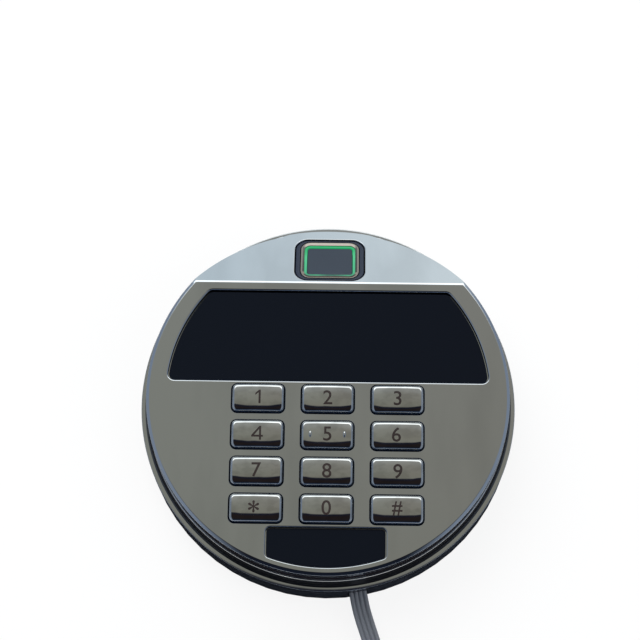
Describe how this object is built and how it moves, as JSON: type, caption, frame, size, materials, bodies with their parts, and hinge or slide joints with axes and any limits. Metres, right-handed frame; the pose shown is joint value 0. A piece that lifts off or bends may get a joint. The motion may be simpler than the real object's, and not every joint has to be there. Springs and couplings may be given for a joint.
{
  "type": "biometric safe lock",
  "caption": "Round chrome keypad unit of an electronic safe lock, with display window, fingerprint reader on a sloping facet, press keys and a coiled flat lead.",
  "frame": {"origin": "centre of the flat back that lies on the door, on the axis of the round housing", "axes": "+Z out of the keypad face, +Y towards the fingerprint reader, +X to the right as the keys are read"},
  "size_m": [0.11, 0.1921, 0.0286],
  "materials": {
    "chrome_plate": "polished chrome plate",
    "silver_bezel": "satin",
    "smoked_window": "gloss smoked acrylic",
    "black_plastic": "fine matt",
    "black_rubber": "matt",
    "base_plastic": "satin",
    "slate_pad": "satin",
    "green_light": "diffusing",
    "grey_silicone": "matt",
    "circuit_board": "solder mask",
    "steel": "plated",
    "white_nylon": "moulded",
    "panel_glass": "polished",
    "amber_film": "smooth",
    "cell_wrap": "smooth sleeve",
    "cable_jacket": "satin PVC"
  },
  "bodies": {
    "housing": {"base_body": "base_plastic", "battery_1": "cell_wrap", "battery_2": "cell_wrap", "battery_3": "cell_wrap", "battery_4": "cell_wrap", "battery_tray_lower": "black_plastic", "battery_tray_upper": "black_plastic", "board_screw_1": "steel", "board_screw_2": "steel", "board_screw_3": "steel", "board_screw_4": "steel", "board_socket": "white_nylon", "bridge_contact_lower": "steel", "bridge_contact_upper": "steel", "buzzer": "black_plastic", "cable_clamp": "black_plastic", "cable_coil": "cable_jacket", "cable_connector": "white_nylon", "cable_inner": "cable_jacket", "cable_lead": "cable_jacket", "clamp_screw": "steel", "coil_tie": "black_plastic", "display_lens": "smoked_window", "display_panel": "panel_glass", "flange_ring": "chrome_plate", "front_shell": "chrome_plate", "key_mat": "grey_silicone", "lower_window": "smoked_window", "main_board": "circuit_board", "minus_contact_lower": "steel", "minus_contact_upper": "steel", "plus_contact_lower": "steel", "plus_contact_upper": "steel", "sensor_bezel": "silver_bezel", "sensor_board": "circuit_board", "sensor_flex": "amber_film", "sensor_frame": "black_plastic", "sensor_light_ring": "green_light", "sensor_pad": "slate_pad", "shell_gasket": "black_rubber"},
    "key_1_cap": {"key_1": "chrome_plate"},
    "key_2_cap": {"key_2": "chrome_plate"},
    "key_3_cap": {"key_3": "chrome_plate"},
    "key_4_cap": {"key_4": "chrome_plate"},
    "key_5_cap": {"key_5": "chrome_plate"},
    "key_6_cap": {"key_6": "chrome_plate"},
    "key_7_cap": {"key_7": "chrome_plate"},
    "key_8_cap": {"key_8": "chrome_plate"},
    "key_9_cap": {"key_9": "chrome_plate"},
    "key_star_cap": {"key_star": "chrome_plate"},
    "key_0_cap": {"key_0": "chrome_plate"},
    "key_hash_cap": {"key_hash": "chrome_plate"}
  },
  "joints": [
    {"name": "key_1_press", "type": "slide", "parent": "housing", "child": "key_1_cap", "axis": [0, 0, -1], "range_m": [0, 0.001], "stiffness_N_per_m": 200, "springref_m": -0.001, "deforming": ["key_mat"]},
    {"name": "key_2_press", "type": "slide", "parent": "housing", "child": "key_2_cap", "axis": [0, 0, -1], "range_m": [0, 0.001], "stiffness_N_per_m": 200, "springref_m": -0.001, "deforming": ["key_mat"]},
    {"name": "key_3_press", "type": "slide", "parent": "housing", "child": "key_3_cap", "axis": [0, 0, -1], "range_m": [0, 0.001], "stiffness_N_per_m": 200, "springref_m": -0.001, "deforming": ["key_mat"]},
    {"name": "key_4_press", "type": "slide", "parent": "housing", "child": "key_4_cap", "axis": [0, 0, -1], "range_m": [0, 0.001], "stiffness_N_per_m": 200, "springref_m": -0.001, "deforming": ["key_mat"]},
    {"name": "key_5_press", "type": "slide", "parent": "housing", "child": "key_5_cap", "axis": [0, 0, -1], "range_m": [0, 0.001], "stiffness_N_per_m": 200, "springref_m": -0.001, "deforming": ["key_mat"]},
    {"name": "key_6_press", "type": "slide", "parent": "housing", "child": "key_6_cap", "axis": [0, 0, -1], "range_m": [0, 0.001], "stiffness_N_per_m": 200, "springref_m": -0.001, "deforming": ["key_mat"]},
    {"name": "key_7_press", "type": "slide", "parent": "housing", "child": "key_7_cap", "axis": [0, 0, -1], "range_m": [0, 0.001], "stiffness_N_per_m": 200, "springref_m": -0.001, "deforming": ["key_mat"]},
    {"name": "key_8_press", "type": "slide", "parent": "housing", "child": "key_8_cap", "axis": [0, 0, -1], "range_m": [0, 0.001], "stiffness_N_per_m": 200, "springref_m": -0.001, "deforming": ["key_mat"]},
    {"name": "key_9_press", "type": "slide", "parent": "housing", "child": "key_9_cap", "axis": [0, 0, -1], "range_m": [0, 0.001], "stiffness_N_per_m": 200, "springref_m": -0.001, "deforming": ["key_mat"]},
    {"name": "key_star_press", "type": "slide", "parent": "housing", "child": "key_star_cap", "axis": [0, 0, -1], "range_m": [0, 0.001], "stiffness_N_per_m": 200, "springref_m": -0.001, "deforming": ["key_mat"]},
    {"name": "key_0_press", "type": "slide", "parent": "housing", "child": "key_0_cap", "axis": [0, 0, -1], "range_m": [0, 0.001], "stiffness_N_per_m": 200, "springref_m": -0.001, "deforming": ["key_mat"]},
    {"name": "key_hash_press", "type": "slide", "parent": "housing", "child": "key_hash_cap", "axis": [0, 0, -1], "range_m": [0, 0.001], "stiffness_N_per_m": 200, "springref_m": -0.001, "deforming": ["key_mat"]}
  ]
}
